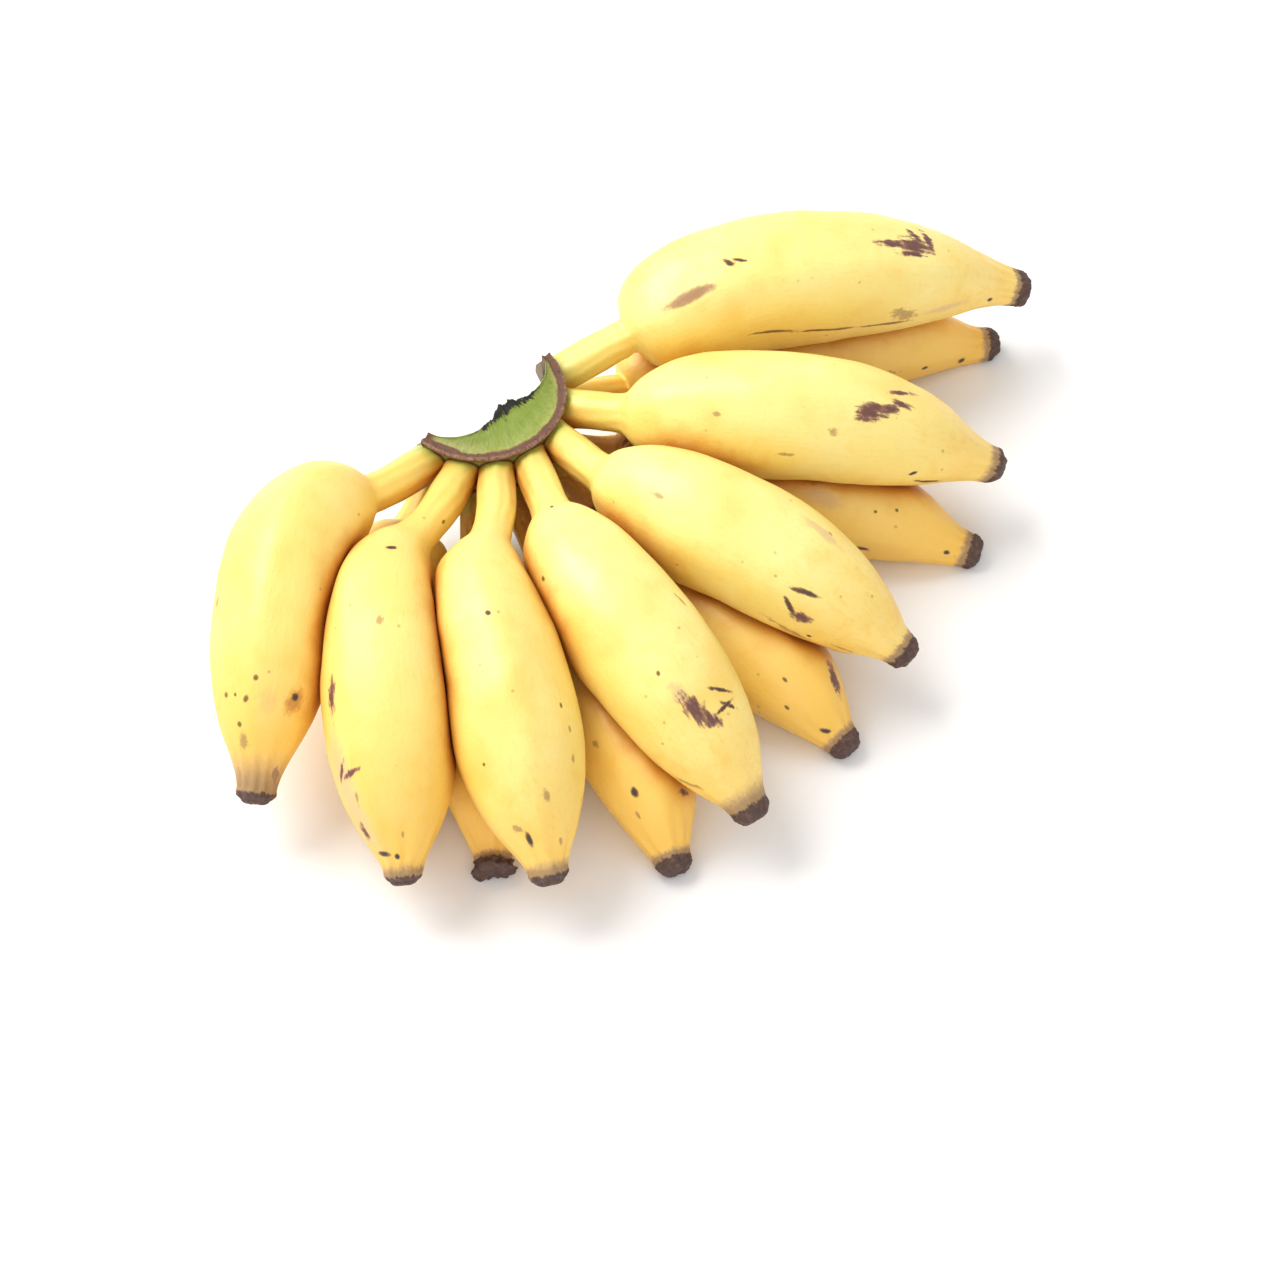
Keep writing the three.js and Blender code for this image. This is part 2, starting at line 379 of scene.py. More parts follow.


# ---- Fingers ----

# What age and handling have left on the peel, with painted shade on the lower pedicels under the upper row:
# distance from the crown in mm, turn from the top in degrees towards the finger's right, length and width in
# mm, tilt in degrees, kind.
MARKS = {
    "upper_banana_1": [
        (100, -10, 7, 6, 0, "blush"), (99, -40, 7, 5, 20, "stain_and_pedicel_shade"), (98, -40, 2, 2, 20, "spot"),
        (95, 5, 1.5, 1.5, 0, "fleck"), (100, 15, 2, 1.5, 40, "fleck"), (99, 45, 1.5, 1.5, 0, "fleck"),
        (99, 30, 1, 1, 0, "fleck"), (106, 25, 1.5, 1.5, 0, "fleck"), (110, 20, 4, 3, 0, "scuff"),
        (75, 65, 3, 1.5, 10, "scuff"), (117, -55, 3.5, 2, -30, "bruise"),
    ],
    "upper_banana_2": [
        (110, 60, 34, 10, -5, "rub"), (86, 55, 10, 3, 10, "bruise"), (105, 60, 6, 1.5, 45, "bruise"),
        (106, 45, 6.5, 1.5, -100, "bruise"), (112, 45, 3, 1.5, 10, "scuff"), (120, 60, 4, 2.5, 0, "bruise"),
        (126, 40, 3.5, 1.5, -80, "spot"), (127, 10, 1.5, 1.5, 0, "spot"), (122, -5, 1.5, 1, 0, "scuff"),
        (25, -60, 1.5, 1, 0, "fleck"), (70, 0, 2.5, 2, 0, "scuff"), (47, -5, 3, 1.5, -110, "spot"),
    ],
    "upper_banana_3": [
        (65, 5, 1.5, 1.5, 0, "spot"), (117, 35, 3, 2, -70, "scuff"), (120, 25, 4, 1.5, 0, "spot"),
        (122, -30, 2, 1, -20, "scuff"), (90, -45, 1.5, 1, 0, "fleck"), (100, 45, 1, 1, 0, "fleck"),
        (111, -10, 3, 2, 0, "scuff"), (96, -50, 1.5, 1, 0, "scuff"), (103, -50, 2, 1, 0, "scuff"),
    ],
    "upper_banana_4": [
        (95, 20, 8, 4, -10, "rub"), (100, 15, 9, 4.5, -15, "bruise"), (104, 5, 5, 3.5, -30, "bruise"),
        (99, -20, 7, 1, -60, "scratch"), (103, -20, 5, 1, -50, "scratch"), (103, -15, 7, 1, -100, "scratch"),
        (88, 25, 1.5, 1, 30, "fleck"), (50, 60, 1.5, 1.5, 0, "fleck"), (32, 10, 1.5, 1, 0, "fleck"),
        (75, -40, 5, 1, -10, "scuff"), (114, 85, 8, 1.5, -30, "scuff"),
    ],
    "upper_banana_5": [
        (89, 45, 8, 1.5, -15, "scratch"), (88, 65, 6.5, 1.5, 40, "scratch"), (92, 70, 5, 3.5, -15, "bruise"),
        (97, 90, 1.5, 1, 0, "spot"), (107, 95, 10, 1, 15, "scuff"), (92, 95, 16, 1.5, 10, "scuff"),
        (85, -15, 12, 3, 5, "rub"), (87, -20, 1.5, 1, 30, "scuff"), (47, 30, 3, 2, 0, "scuff"),
    ],
    "upper_banana_6": [
        (84, 25, 8, 5, -25, "bruise"), (89, 20, 5, 3, -30, "bruise"), (92, -5, 8, 1.5, -20, "bruise"),
        (92, 10, 6, 2, 5, "bruise"), (107, 95, 10, 1.5, 10, "scratch"), (100, 80, 2.5, 1, -35, "spot"),
        (64, 75, 4, 1, 0, "scuff"), (75, 50, 2.5, 2, 0, "scuff"), (46, 40, 2, 1.5, 0, "scuff"),
    ],
    "upper_banana_7": [
        (42, 30, 15, 3.5, 0, "bloom"), (55, 15, 3.5, 1.5, 55, "scratch"), (58, 15, 4, 1, 25, "scratch"),
        (106, 10, 10, 6, -10, "bruise"), (99, 10, 8, 2.5, 0, "bruise"), (107, -5, 6, 2, 55, "bruise"),
        (111, 0, 8, 2.5, 80, "bruise"), (105, 20, 7, 2, 0, "bruise"), (63, 88, 15, 1, 5, "seam"),
        (81, 95, 20, 1, 5, "seam"), (100, 98, 16, 1, 0, "seam"), (104, 88, 8, 4, 20, "scuff"),
        (134, 85, 2, 1.5, 0, "spot"), (118, 85, 16, 2.5, -10, "rub"),
    ],
    # On lower fingers 2 to 5 the first mark is painted shade on the pedicel where it lies under the upper
    # row.
    "lower_banana_2": [
        (14, 0, 20, 8, 0, "stain_and_pedicel_shade"), (84, 20, 1.5, 1, 0, "fleck"), (96, -20, 3, 1.5, 30, "scuff"),
    ],
    "lower_banana_3": [
        (14, 0, 22, 8, 0, "stain_and_pedicel_shade"), (27, -20, 6, 4, 0, "bruise"), (102, 30, 2.5, 2, 0, "spot"),
        (105, -40, 3.5, 1.5, -75, "bruise"), (88, 45, 2.5, 2, 0, "scuff"), (107, 40, 2, 1, 0, "scuff"),
    ],
    "lower_banana_4": [
        (14, 0, 22, 9, 0, "stain_and_pedicel_shade"), (20, 0, 9, 6, 0, "bruise"), (101, -35, 8, 4, 15, "bruise"),
        (94, 30, 1.5, 1, 0, "fleck"), (99, 55, 1.5, 1, 0, "fleck"), (110, 40, 3.5, 1.5, -35, "spot"),
    ],
    "lower_banana_5": [
        (14, 0, 22, 9, 0, "stain_and_pedicel_shade"), (22, 10, 9, 5, 0, "bruise"), (75, 35, 11, 6, 10, "rub"),
        (89, 35, 1, 1, 0, "fleck"), (94, 25, 1, 1, 0, "fleck"), (89, 85, 4, 2, 10, "bruise"),
        (112, 60, 2, 1.5, 0, "spot"),
    ],
    "lower_banana_6": [
        (124, 85, 2.5, 2, 0, "spot"), (111, 85, 2, 1.5, 0, "spot"), (96, 80, 10, 2, 5, "scuff"),
    ],
}

# Kinds of mark: middle colour, edge colour, strength, ragged edge, streaked edge, height.
KINDS = {
    "bruise": ((0.140, 0.050, 0.036), (0.360, 0.170, 0.090), 1.00, 1.5, 1.8, -0.5),
    "bloom": ((0.360, 0.185, 0.085), (0.460, 0.270, 0.120), 0.95, 0.7, 0.5, 0.0),
    "rub": ((0.700, 0.470, 0.230), (0.830, 0.560, 0.190), 0.70, 1.4, 0.4, 0.0),
    "blush": ((0.800, 0.470, 0.150), (0.880, 0.580, 0.130), 0.50, 1.8, 0.6, 0.0),
    # This kind serves both real stains and painted shade on the lower pedicels.
    "stain_and_pedicel_shade": ((0.420, 0.120, 0.018), (0.720, 0.330, 0.050), 0.70, 1.6, 0.8, 0.0),
    "spot": ((0.045, 0.022, 0.010), (0.220, 0.115, 0.035), 1.00, 0.9, 0.5, -0.4),
    "fleck": ((0.130, 0.085, 0.010), (0.380, 0.250, 0.025), 0.95, 0.8, 0.0, -0.2),
    "scratch": ((0.080, 0.034, 0.018), (0.300, 0.150, 0.055), 1.00, 1.0, 1.2, -0.5),
    "seam": ((0.180, 0.085, 0.028), (0.420, 0.240, 0.070), 0.90, 1.0, 1.2, -0.4),
    "scuff": ((0.300, 0.165, 0.050), (0.580, 0.350, 0.090), 0.70, 2.4, 1.4, 0.0),
}

# The dried end of each finger: length of the dark cap and of the withered peel before it in
# millimetres, how torn it is, and how far it spreads in millimetres.
SCARS = {
    "upper_banana_1": (3.2, 12.0, 1.0, 0.0),
    "upper_banana_2": (2.2, 3.0, 0.8, 0.0),
    "upper_banana_3": (2.8, 3.5, 0.8, 0.0),
    "upper_banana_4": (4.6, 5.5, 1.0, 0.3),
    "upper_banana_5": (4.4, 2.0, 1.2, 0.3),
    "upper_banana_6": (3.8, 3.0, 0.9, 0.3),
    "upper_banana_7": (4.8, 1.6, 1.1, 0.8),
    "lower_banana_2": (3.6, 2.0, 3.0, 2.4),
    "lower_banana_4": (4.0, 2.5, 1.4, 0.4),
}
PLAIN_SCAR = (3.8, 2.5, 1.3, 0.3)

# How much riper and darker a finger is, from 0; the lower row lies in the shade of the upper one, so its
# darker colour is partly riper peel and partly painted shade.
RIPENESS = {"upper_banana_1": 0.42, "upper_banana_2": 0.42, "upper_banana_3": 0.18}
LOWER_RIPENESS_AND_SHADE = 0.50

# Lower fingers with an early shoulder: its distance from the crown and its height, in mm.
SHOULDERS = {"lower_banana_1": (18, 2.6), "lower_banana_5": (17, 2.6)}
NO_SHOULDER = (20, 0)

# Peel colours that have no setting of their own.
# Painted shade in the deepest creases between fingers.
DEEP_CREASE_SHADE = (0.20, 0.055, 0.006)
JOINT_LINE = (0.16, 0.095, 0.035)
FRECKLE = (0.34, 0.18, 0.045)
WITHERED = (0.22, 0.130, 0.050)
ASH = (0.20, 0.092, 0.062)

# The dried end in outline: share of the last ring's radius, millimetres past it.
SCAR_OUTLINE = [(0.94, 0.35), (0.85, 0.65), (0.72, 0.9), (0.57, 1.05), (0.40, 1.1), (0.24, 1.05), (0.1, 1.0)]


def finger_axis(rings, places, along):
    centres = through(along, rings.mean(axis=1), places)
    ahead = np.gradient(centres, places, axis=0)
    ahead /= np.linalg.norm(ahead, axis=1, keepdims=True)
    side = np.cross(ahead, (0.0, 0.0, 1.0))
    side /= np.linalg.norm(side, axis=1, keepdims=True)
    return centres, ahead, side, np.cross(side, ahead)


def finger_places(length, count):
    """Distances along the finger: closer together at its dried end."""
    end = 9 * MM
    main = np.linspace(0, length - end, int(count * 0.75), endpoint=False)
    return np.concatenate([main, np.linspace(length - end, length, count - len(main))])


def finger_relief(points, turn, places, length, seed, torn, spread, peel):
    """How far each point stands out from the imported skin."""
    near_crown = np.exp(-places / (2.2 * MM))[:, None]
    stalk = (1 - soft_step(places, 20 * MM, 32 * MM))[:, None]
    neck = soft_step(places, length - 20 * MM, length - 7 * MM)[:, None]
    scar = soft_step(places, length - 3.5 * MM, length - 2.0 * MM)[:, None]
    tip = np.clip(1 - (length - places) / (2.6 * MM), 0, 1)[:, None]
    slow = rough(points, 16 * MM, seed)
    folds = np.cos(11 * turn + 3 * slow) * (0.35 * stalk + neck)
    lobes = rough(points, 4.5 * MM, seed + 3)
    ragged = rough(points, 1.5 * MM, seed + 5, octaves=3)
    relief = peel.wave * slow * (1 - 0.6 * stalk)
    relief += peel.wrinkle * folds * (1 - 0.5 * scar)
    relief += peel.flare * near_crown
    relief += scar * (0.20 * MM + torn * MM * (0.30 * ragged + 0.35 * lobes))
    relief -= (1.2 - spread) * MM * tip ** 3
    return relief


def other_fingers(node):
    """A search tree over every other finger, to find where this one is pressed and so gets painted shade in
    its creases.
    """
    points, triangles = [], []
    for name in UPPER_FINGERS + LOWER_FINGERS:
        if name != node:
            corners, faces = joined_mesh(name)
            triangles += (faces + len(points)).tolist()
            points += corners.tolist()
    return BVHTree.FromPolygons(points, triangles)


def closeness(surface, tree):
    """Share of painted shade in the creases: 1 where a neighbour touches, falling to 0 a few millimetres
    away from it.
    """
    far = 20 * MM
    gaps = [tree.find_nearest(Vector(p), far)[3] for p in surface.reshape(-1, 3)]
    gaps = np.array([far if gap is None else gap for gap in gaps])
    return np.exp(-gaps / (4.8 * MM)).reshape(surface.shape[:-1])


def build_finger(node, ripeness_and_shade, seed):
    """One finger: pedicel, body and dried flower scar as a single closed skin."""
    peel = bpy.context.scene.banana_peel
    cap, withered, torn, spread = SCARS.get(node, PLAIN_SCAR)
    rings = skin_rings(node, CROWN_MIDDLE)
    steps = np.linalg.norm(np.diff(rings.mean(axis=1), axis=0), axis=1)
    along = np.concatenate([[0], np.cumsum(steps)])
    length = along[-1]
    places = finger_places(length, peel.rings)
    surface = around(through(along, rings, places), peel.sides)
    centres, ahead, side, up = finger_axis(rings, places, along)
    out = surface - centres[:, None]
    turn = np.arctan2((out * side[:, None]).sum(-1), (out * up[:, None]).sum(-1))
    radius = np.linalg.norm(out, axis=-1)
    out /= radius[..., None]
    relief = finger_relief(surface, turn, places, length, seed, torn, spread, peel)
    shoulder, height = SHOULDERS.get(node, NO_SHOULDER)
    relief += height * MM * np.exp(-((places / MM - shoulder) / 6) ** 2)[:, None]
    surface += out * relief[..., None]
    straight = np.stack([radius * np.cos(turn), radius * np.sin(turn),
                         np.broadcast_to(places[:, None], turn.shape)], -1)

    ends = []
    ragged = rough(surface[-1], 1.5 * MM, seed + 9)
    for share, past in SCAR_OUTLINE:
        torn_edge = torn * 0.35 * MM * ragged * share
        lift = ahead[-1] * (past * MM + torn_edge)[:, None]
        ends.append(centres[-1] + (surface[-1] - centres[-1]) * share + lift)
    root = surface[0] - ahead[0] * peel.sink
    surface = np.concatenate([[root], surface, ends])
    straight = np.concatenate([straight[:1], straight] + [straight[-1:]] * len(ends))
    surface[..., 2] = np.maximum(surface[..., 2], CAD_BOX[0].z)
    # The second value is how much painted shade each point gets in the creases between fingers.
    values = {"straight": straight, "painted_crease_shade": closeness(surface, other_fingers(node))}
    piece = skin_object(f"{node}_skin", surface, root.mean(0), centres[-1] + ahead[-1] * 0.9 * MM, values)
    piece.data.materials.append(peel_material(node, length, cap * MM, withered * MM,
                                              ripeness_and_shade, seed))
    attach(piece, "root")
    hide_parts(node)
    return piece


def cover_with_mark(paint, look, mark, turn, around_mm, along, ragged, streaks):
    """Lays one mark over the peel's colour, roughness and height."""
    distance, angle, long_mm, wide_mm, tilt, kind = mark
    middle, edge, strength, rag, streak, lift = KINDS[kind]
    across = (turn - math.radians(angle)).maths("WRAP", math.pi, -math.pi) * around_mm
    ahead = along - distance * MM
    c, s = math.cos(math.radians(tilt)), math.sin(math.radians(tilt))
    x = (ahead * c + across * s) / (long_mm * MM / 2)
    y = (across * c - ahead * s) / (wide_mm * MM / 2)
    reach = (x * x + y * y).maths("SQRT") + ragged * rag + streaks * streak
    share = (1 - reach.step(0.68, 1.28)) * strength
    shade = paint.mix(reach.step(0.35, 1.10), middle, edge)
    look["colour"] = paint.mix(share, look["colour"], shade)
    look["roughness"] = look["roughness"] + share * 0.12
    look["height"] = look["height"] + share * lift


def peel_material(node, length, cap, withered, ripeness_and_shade, seed):
    """Ripe peel, greener at the crown and dried at the tip, with this finger's own marks; paler on top as
    painted highlight, deeper in colour on the flanks and in the creases as painted shade.
    """
    peel = bpy.context.scene.banana_peel
    paint = Paint(f"peel_{node}")
    x, y, along = paint.attribute("straight")
    painted_crease_shade = paint.attribute("painted_crease_shade")[0]
    turn = y.maths("ARCTAN2", x)
    radius = (x * x + y * y).maths("SQRT")
    here = paint.place(shift=seed * 0.37)
    slow = paint.noise(here, 45, 2)
    middle = paint.noise(here, 150, 3)
    fine = paint.noise(here, 900, 3, 0.6)
    grain = paint.noise(paint.join(x * 900, y * 900, along * 140), 1.0, 3, 0.6)
    to_end = (along * -1) + length

    # The top of each finger is painted paler as painted highlight.
    facing_up = x / radius.maths("MAXIMUM", 0.001)
    painted_top_light = facing_up.step(0.2, 1.0)
    paleness_and_top_light = (slow.step(0.50, 0.75) * 0.45 + painted_top_light * 0.45) * (along.step(0.020, 0.036) * 0.7 + 0.3)
    colour = paint.mix(paleness_and_top_light, peel.ripe, peel.pale_and_top_light)
    colour = paint.mix((1 - slow.step(0.28, 0.50)) * 0.45, colour, peel.deep_and_shade)
    # The flanks and underside are painted deeper in colour as painted shade.
    painted_flank_shade = 1 - facing_up.step(-0.30, 0.55)
    colour = paint.mix(painted_flank_shade * (0.2 + ripeness_and_shade), colour, peel.deep_and_shade)
    mottle = middle.step(0.48, 0.76) * 0.38 + grain.step(0.50, 0.78) * 0.32 + fine.step(0.50, 0.78) * 0.32
    far_end = 1 - to_end.step(0.004, 0.045)
    colour = paint.mix((mottle * (far_end + 0.55)).maths("MINIMUM", 1), colour, peel.deep_and_shade)
    # Deeper in colour towards the far end; over the lower row this is partly painted shade.
    colour = paint.mix(far_end * 0.50 + ripeness_and_shade, colour, peel.deep_and_shade)

    crown_side = along + (middle - 0.5) * 0.008
    greenness = (1 - crown_side.step(0.001, 0.008)) * 0.70 + (1 - crown_side.step(0.004, 0.024)) * 0.22
    colour = paint.mix(greenness, colour, peel.green)
    # Painted shade in the creases where the fingers lie against each other, darkest where they touch.
    crease_shade_share = painted_crease_shade + (middle - 0.5) * 0.35
    colour = paint.mix(crease_shade_share.step(0.15, 0.88) * 0.90, colour, peel.painted_crease_shade)
    colour = paint.mix(crease_shade_share.step(0.72, 1.05) * 0.70, colour, DEEP_CREASE_SHADE)
    colour = paint.mix(1 - along.step(0.0002, 0.0010), colour, JOINT_LINE)

    near, lucky = paint.cells(here, 230)
    freckle = (1 - near.step(0.05, 0.16)) * lucky.step(0.84, 0.90) * 0.55
    colour = paint.mix(freckle, colour, FRECKLE)

    ragged = paint.noise(here, 520, 4, 0.75) - 0.5
    streaks = paint.noise(paint.join(x * 1100, y * 1100, along * 260), 1.0, 2, 0.5) - 0.5
    look = {
        "colour": colour,
        "roughness": (middle - 0.5) * 0.20 + peel.roughness,
        "height": (fine - 0.5) * 0.30 + (grain - 0.5) * 0.25 + (middle - 0.5) * 0.45,
    }
    for mark in MARKS.get(node, []):
        cover_with_mark(paint, look, mark, turn, radius, along, ragged, streaks)

    end_side = to_end + ragged * 0.0025 + streaks * 0.002
    dull = (1 - end_side.step(cap, cap + withered)) * 0.75
    dried = 1 - end_side.step(cap - 0.0014, cap - 0.0006)
    ash = paint.mix(paint.noise(here, 700, 3).step(0.42, 0.72) * 0.50, peel.scar, ASH)
    colour = paint.mix(dull, look["colour"], peel.scar_edge)
    colour = paint.mix(dull * dull * 1.2, colour, WITHERED)
    colour = paint.mix(dried, colour, ash)
    roughness = look["roughness"] + dull * 0.10 + dried * 0.20
    height = look["height"] + dried * (paint.noise(here, 1300, 3) - 0.5) * 1.5
    paint.feed(paint.surface.inputs["Specular IOR Level"], peel.gloss)
    return paint.finish(colour, roughness, height, 0.35 * MM)


# ---- Crown ----

# Sections of the crown's skin, counted round it from the foot of the outer wall.
RIM = (2.6, 5.2)
CUSHION = (5.2, 7.7)
CUT_EDGE = (7.35, 8.6)
CUT_FACE = (8.0, 11.8)

# Crown colours that have no setting of their own.
WALL_YELLOW = (0.44, 0.43, 0.085)
WALL_GREEN = (0.32, 0.35, 0.06)
CUSHION_BRIGHT = (0.210, 0.30, 0.026)
CUSHION_STREAK = (0.12, 0.15, 0.026)
RIM_KNOT = (0.060, 0.028, 0.020)


def crown_relief(points, section, share, crown):
    """Outward relief: knots in the rim, a torn black edge, strands in the cut face."""
    knots = rough(points, 2.2 * MM, 31, octaves=3)
    slow = rough(points, 7 * MM, 32)
    rim = soft_step(section, RIM[0], RIM[0] + 0.5) * (1 - soft_step(section, RIM[1] - 0.6, RIM[1]))
    face = soft_step(section, CUT_FACE[0], CUT_FACE[0] + 0.8) * (1 - soft_step(section, 11.2, 12.2))
    edge = np.exp(-((section - 8.0) / 0.45) ** 2)
    middle = np.exp(-((share - 0.52) / 0.20) ** 2)
    relief = crown.coarse * (0.5 * slow + knots * (0.25 + 0.7 * rim + 1.1 * face))
    relief += crown.ragged * edge * middle * (0.7 + 0.6 * knots)
    return relief


def build_crown():
    """The crown: outer wall, brown rim, green cushion and cut face as one closed skin."""
    crown = bpy.context.scene.banana_crown
    rings = skin_rings("crown", np.array(CROWN_LOW))
    count = len(rings)
    places = np.linspace(0, count - 1, 240)
    surface = around(through(np.arange(count, dtype=float), rings, places), 156)
    section = np.broadcast_to(crown_sections(rings, 156), surface.shape[:2])
    share = np.broadcast_to((places / (count - 1))[:, None], section.shape)
    centres = surface.mean(axis=1, keepdims=True)
    out = surface - centres
    out /= np.linalg.norm(out, axis=-1, keepdims=True)
    surface = surface + out * crown_relief(surface, section, share, crown)[..., None]
    angle = section / rings.shape[1] * 2 * math.pi
    where = np.stack([np.cos(angle), np.sin(angle), share], -1)
    piece = skin_object("crown_skin", surface, surface[0].mean(0), surface[-1].mean(0), {"stalk": where})
    piece.data.materials.append(crown_material(rings.shape[1]))
    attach(piece, "root")
    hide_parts("crown")
    return piece


def crown_sections(rings, sides):
    """Number of each point round the crown, counted from the foot of the outer wall upwards."""
    count = rings.shape[1]
    middle = rings[len(rings) // 2]
    hub = rings.mean(axis=(0, 1))
    hub_away = np.linalg.norm((middle - hub)[:, :2], axis=1)
    low = middle[:, 2] - middle[:, 2].min()
    wall_foot = int(np.argmax(hub_away * (low > 0.5 * MM) * (low < 4 * MM)))
    up = middle[(wall_foot + 1) % count, 2] > middle[wall_foot, 2] + 5 * MM
    numbers = np.arange(sides) * count / sides
    return ((numbers - wall_foot) if up else (wall_foot - numbers)) % count


def crown_material(sections):
    """Green cushion, brown rim, black edge and fibrous cut face."""
    crown = bpy.context.scene.banana_crown
    paint = Paint("crown_stalk")
    x, y, share = paint.attribute("stalk")
    section = y.maths("ARCTAN2", x).maths("WRAP", 2 * math.pi, 0.0) * (sections / (2 * math.pi))
    here = paint.place()
    slow = paint.noise(here, 130, 3)
    knots = paint.noise(here, 600, 4, 0.65)
    streak = paint.noise(paint.join(share * 90, section * 1.2, 0.0), 1.0, 4, 0.6)
    loose = section + (knots - 0.5) * 0.9

    ends = 1 - share.band(0.04, 0.96, 0.025)
    taper = (1 - share.step(0.03, 0.26)) + share.step(0.78, 0.97)
    rim_side = section - taper * 1.0 * section.step(4.0, 6.0)
    colour = paint.mix(slow.step(0.35, 0.65), WALL_YELLOW, WALL_GREEN)
    green = paint.mix(rim_side.step(5.3, 6.6), crown.cushion_pale, crown.cushion)
    green = paint.mix(share.band(0.25, 0.80, 0.15) * 0.6, green, CUSHION_BRIGHT)
    green = paint.mix(streak.step(0.48, 0.75) * 0.55, green, CUSHION_STREAK)
    colour = paint.mix(loose.band(CUSHION[0], CUSHION[1], 0.15), colour, green)
    crest = section.band(3.3, 4.1, 0.35)
    brown = paint.mix(crest * (streak.step(0.30, 0.60)), crown.rim, crown.rim_pale)
    brown = paint.mix(knots.step(0.52, 0.75) * 0.7, brown, RIM_KNOT)
    rim_share = (rim_side + (knots - 0.5) * 0.5 + (slow - 0.5) * 1.2).band(RIM[0], RIM[1] - 0.15, 0.18)
    rim_share = rim_share.maths("MAXIMUM", ends)
    colour = paint.mix(rim_share, colour, brown)
    strand = paint.noise(paint.place((1, 1, 0.12)), 1300, 3, 0.6)
    face = paint.mix(strand.step(0.38, 0.64), crown.cut, crown.fibre)
    face = paint.mix(slow.step(0.45, 0.70) * 0.7, face, crown.black)
    face_share = loose.band(CUT_FACE[0], CUT_FACE[1], 0.25)
    colour = paint.mix(face_share, colour, face)
    torn = (section + (knots - 0.5) * 1.8 + (streak - 0.5) * 1.2)
    edge_share = torn.band(CUT_EDGE[0], CUT_EDGE[1], 0.15) * share.band(0.22, 0.80, 0.06)
    colour = paint.mix(edge_share, colour, crown.black)
    colour = paint.mix(section.band(11.8, 12.9, 0.3) * 0.7, colour, crown.cut)

    dry = rim_share * 0.25 + face_share * 0.35
    roughness = (knots - 0.5) * 0.2 + 0.52 + dry
    height = (knots - 0.5) * (0.4 + dry * 2.5) + (streak - 0.5) * 0.5
    return paint.finish(colour, roughness, height, 0.4 * MM)


# ---- Stage ----

# Each light: place, width, colour.
KEY_LIGHT = ((-0.88, 0.52, 1.25), 1.2, (1.0, 0.985, 0.96))
FILL_LIGHT = ((-0.1, -1.4, 0.9), 1.6, (0.97, 0.985, 1.0))
FLOOR_SIZE = 6.0

def add_floor(stage):
    mesh = bpy.data.meshes.new("table_top")
    half = FLOOR_SIZE / 2
    corners = [(-half, -half, 0), (half, -half, 0), (half, half, 0), (-half, half, 0)]
    mesh.from_pydata(corners, [], [(0, 1, 2, 3)])
    floor = bpy.data.objects.new("table_top", mesh)
    floor.location.z = CAD_BOX[0].z
    bpy.context.scene.collection.objects.link(floor)
    paint = Paint("table_top")
    paint.feed(paint.surface.inputs["Base Color"], tuple(stage.floor) + (1,))
    paint.feed(paint.surface.inputs["Roughness"], 0.9)
    paint.feed(paint.surface.inputs["Specular IOR Level"], 0.1)
    mesh.materials.append(paint.material)


def add_light(name, light_kind, target, power):
    place, width, colour = light_kind
    data = bpy.data.lights.new(name, "AREA")
    data.shape = "DISK"
    data.size = width
    data.energy = power
    data.color = colour
    light = bpy.data.objects.new(name, data)
    light.location = place
    light.rotation_euler = (Vector(target) - Vector(place)).to_track_quat("-Z", "Y").to_euler()
    bpy.context.scene.collection.objects.link(light)


def add_camera(stage, middle):
    data = bpy.data.cameras.new("camera")
    data.lens = stage.lens
    data.sensor_width = 36
    data.clip_end = 20
    camera = bpy.data.objects.new("camera", data)
    away = Vector((0, -math.cos(stage.elevation), math.sin(stage.elevation)))
    camera.location = middle + away * stage.distance
    camera.rotation_euler = away.to_track_quat("Z", "Y").to_euler()
    bpy.context.scene.collection.objects.link(camera)
    bpy.context.scene.camera = camera


def add_sky(strength):
    world = bpy.data.worlds.new("even_light")
    world.use_nodes = True
    background = world.node_tree.nodes["Background"]
    background.inputs["Color"].default_value = (1.0, 1.0, 1.0, 1.0)
    background.inputs["Strength"].default_value = strength
    bpy.context.scene.world = world


# ---- Operators ----

class BANANA_OT_build_crown(bpy.types.Operator):
    """Build the cut crown"""
    bl_idname = "banana.build_crown"
    bl_label = "Build crown"

    def execute(self, context):
        build_crown()
        return {"FINISHED"}


class BANANA_OT_build_upper_row(bpy.types.Operator):
    """Build the fingers of the upper row"""
    bl_idname = "banana.build_upper_row"
    bl_label = "Build upper row"

    def execute(self, context):
        for number, node in enumerate(UPPER_FINGERS):
            build_finger(node, RIPENESS.get(node, 0.0), 1 + number)
        return {"FINISHED"}


class BANANA_OT_build_lower_row(bpy.types.Operator):
    """Build the fingers of the lower row"""
    bl_idname = "banana.build_lower_row"
    bl_label = "Build lower row"

    def execute(self, context):
        for number, node in enumerate(LOWER_FINGERS):
            build_finger(node, LOWER_RIPENESS_AND_SHADE, 21 + number)
        return {"FINISHED"}


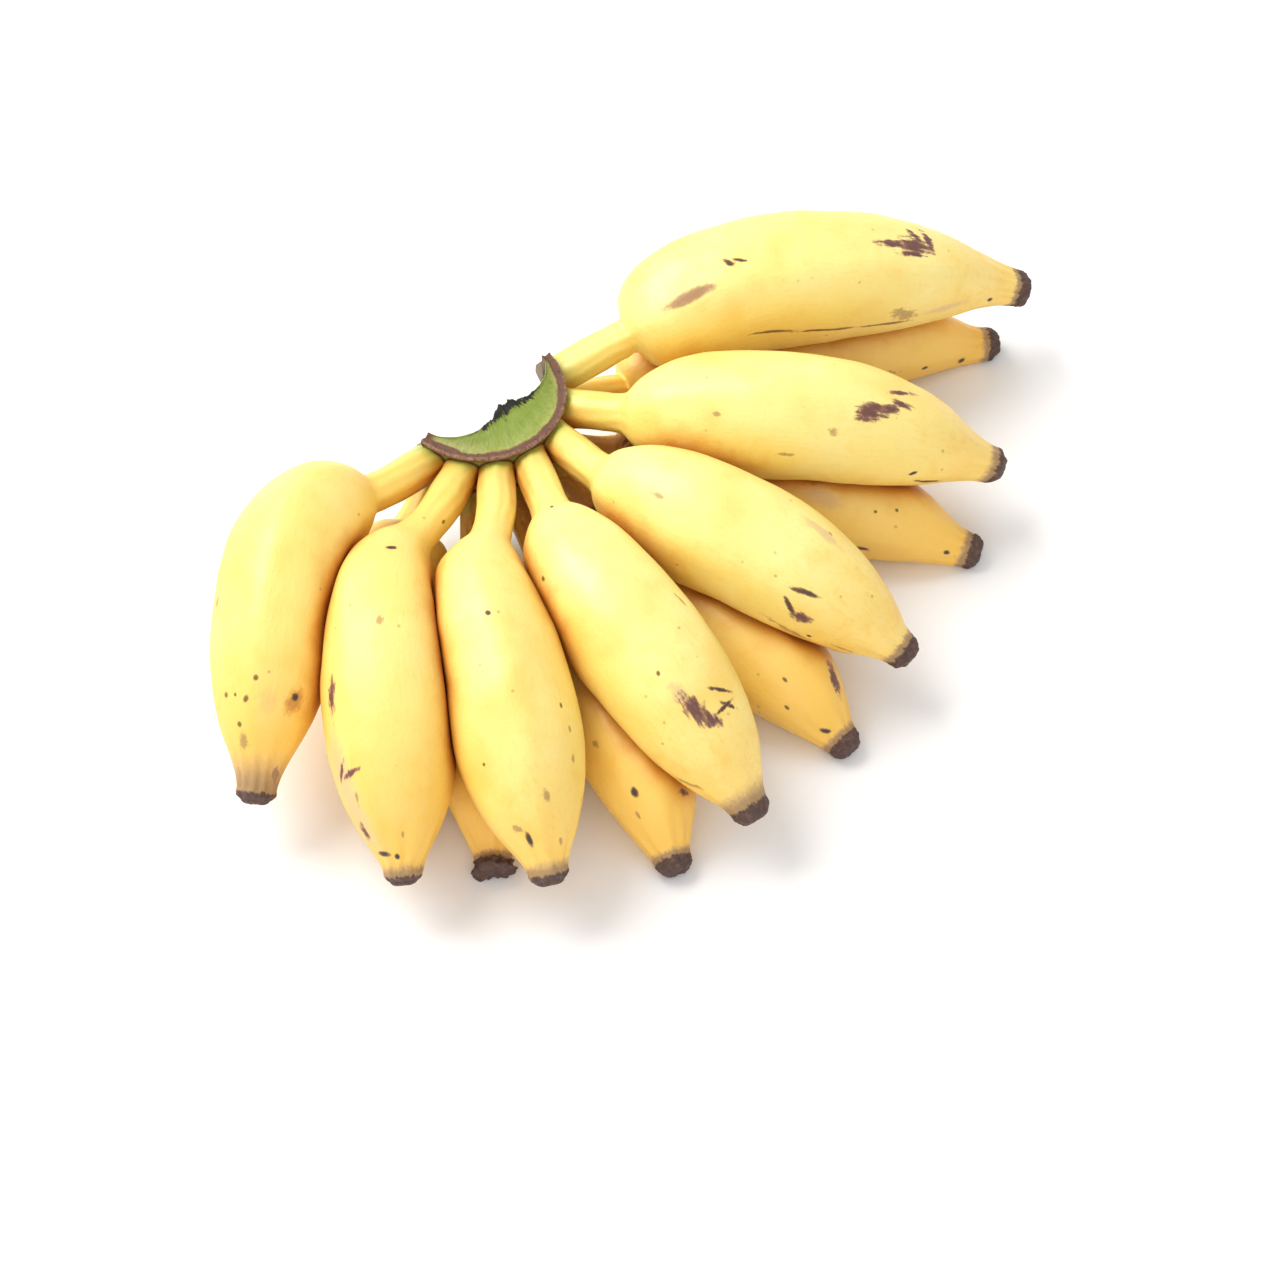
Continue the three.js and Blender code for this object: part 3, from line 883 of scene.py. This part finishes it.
class BANANA_OT_build_stage(bpy.types.Operator):
    """Set up the table, the lights and the camera"""
    bl_idname = "banana.build_stage"
    bl_label = "Build stage"

    def execute(self, context):
        stage = context.scene.banana_stage
        low, high = CAD_BOX
        middle = Vector(((low.x + high.x) / 2 + stage.aim_right, (low.y + high.y) / 2 - stage.aim, low.z))
        add_floor(stage)
        add_light("key_light", KEY_LIGHT, middle, stage.key)
        add_light("fill_light", FILL_LIGHT, middle, stage.fill)
        add_camera(stage, middle)
        add_sky(stage.sky)
        context.scene.view_settings.view_transform = "Standard"
        return {"FINISHED"}


class BANANA_PT_sidebar(bpy.types.Panel):
    """Everything that builds the hand of bananas"""
    bl_label = "Hand of bananas"
    bl_space_type = "VIEW_3D"
    bl_region_type = "UI"
    bl_category = "Bananas"

    def draw(self, context):
        for operator in OPERATORS:
            self.layout.operator(operator.bl_idname)
        for settings in ("banana_peel", "banana_crown", "banana_stage"):
            box = self.layout.box()
            group = getattr(context.scene, settings)
            for name in group.__annotations__:
                box.prop(group, name)


OPERATORS = (BANANA_OT_build_crown, BANANA_OT_build_upper_row, BANANA_OT_build_lower_row,
             BANANA_OT_build_stage)
GROUPS = {
    "banana_peel": BananaPeelSettings,
    "banana_crown": BananaCrownSettings,
    "banana_stage": BananaStageSettings,
}


def register():
    for name, group in GROUPS.items():
        bpy.utils.register_class(group)
        setattr(bpy.types.Scene, name, PointerProperty(type=group))
    for operator in OPERATORS:
        bpy.utils.register_class(operator)
    bpy.utils.register_class(BANANA_PT_sidebar)


def unregister():
    bpy.utils.unregister_class(BANANA_PT_sidebar)
    for operator in reversed(OPERATORS):
        bpy.utils.unregister_class(operator)
    for name, group in reversed(GROUPS.items()):
        delattr(bpy.types.Scene, name)
        bpy.utils.unregister_class(group)


def main():
    register()
    bpy.ops.banana.build_stage()
    bpy.ops.banana.build_crown()
    bpy.ops.banana.build_upper_row()
    bpy.ops.banana.build_lower_row()
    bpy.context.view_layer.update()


if __name__ == "__main__":
    main()
